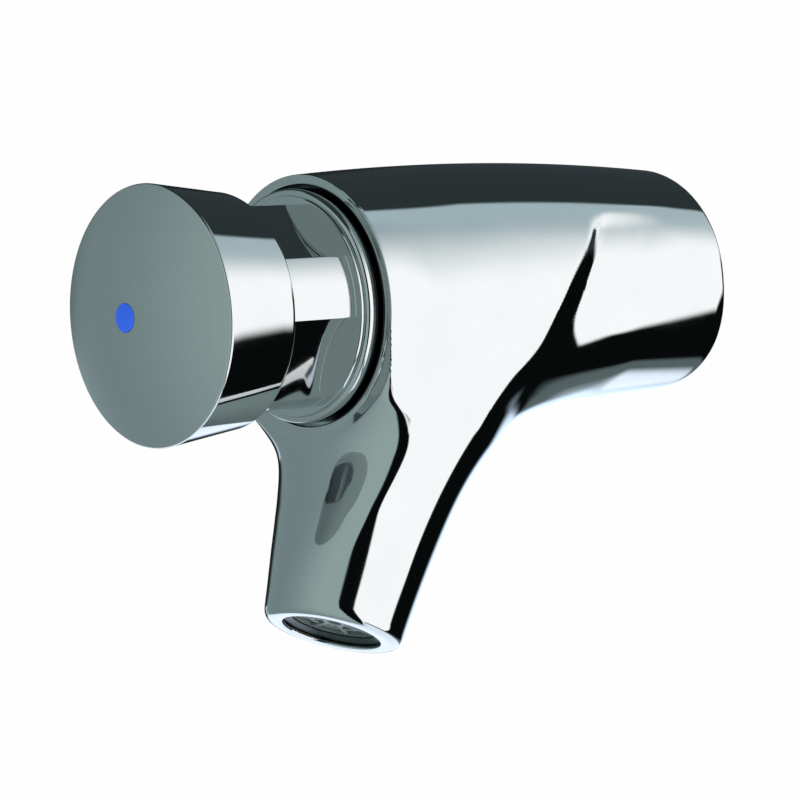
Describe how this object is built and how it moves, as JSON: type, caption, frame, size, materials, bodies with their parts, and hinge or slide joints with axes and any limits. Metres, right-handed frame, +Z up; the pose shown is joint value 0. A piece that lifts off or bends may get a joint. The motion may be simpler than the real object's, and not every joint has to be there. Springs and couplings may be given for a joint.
{
  "type": "push timed tap",
  "caption": "Wall-mounted push-button timed tap with a leaning cast spout, a neck with spanner flats, a flared domed button and a threaded inlet tail.",
  "frame": {"origin": "centre of the inlet tail where it meets the wall plane, on the axis of the button", "axes": "+Y into the wall along the inlet tail, +Z up, the button faces -Y"},
  "size_m": [0.05, 0.1424, 0.0878],
  "materials": {
    "chrome_casting": "polished",
    "chrome_trim": "polished",
    "satin_chrome": "satin, fine turned",
    "blue_marker": "gloss",
    "brass": "turned",
    "stainless": "turned",
    "rubber": "matte",
    "white_plastic": "moulded",
    "grey_plastic": "moulded"
  },
  "bodies": {
    "tap_body": {"body_casting": "chrome_casting", "cap_nut": "chrome_trim", "cap_gasket": "rubber", "stem_bush": "white_plastic", "stem_wiper": "rubber", "cartridge_sleeve": "brass", "sleeve_gasket": "rubber", "sleeve_o_ring_front": "rubber", "sleeve_o_ring_rear": "rubber", "valve_seat": "stainless", "timing_jet": "brass", "partition_seal": "rubber", "spring_washer": "stainless", "return_spring": "stainless", "inlet_strainer": "stainless", "flow_restrictor": "white_plastic", "aerator_housing": "chrome_trim", "aerator_star": "grey_plastic", "aerator_screen": "stainless", "aerator_washer": "rubber"},
    "plunger": {"push_button": "satin_chrome", "colour_marker": "blue_marker", "lock_washer": "stainless", "stem": "stainless", "piston": "white_plastic", "piston_lip_seal": "rubber", "piston_circlip": "stainless", "valve_holder": "brass", "valve_washer": "rubber", "valve_nut": "stainless"}
  },
  "joints": [
    {"name": "button_press", "type": "slide", "parent": "tap_body", "child": "plunger", "axis": [0, 1, 0], "range_m": [0, 0.01], "stiffness_N_per_m": 1400, "springref_m": -0.009, "deforming": ["return_spring"]}
  ]
}
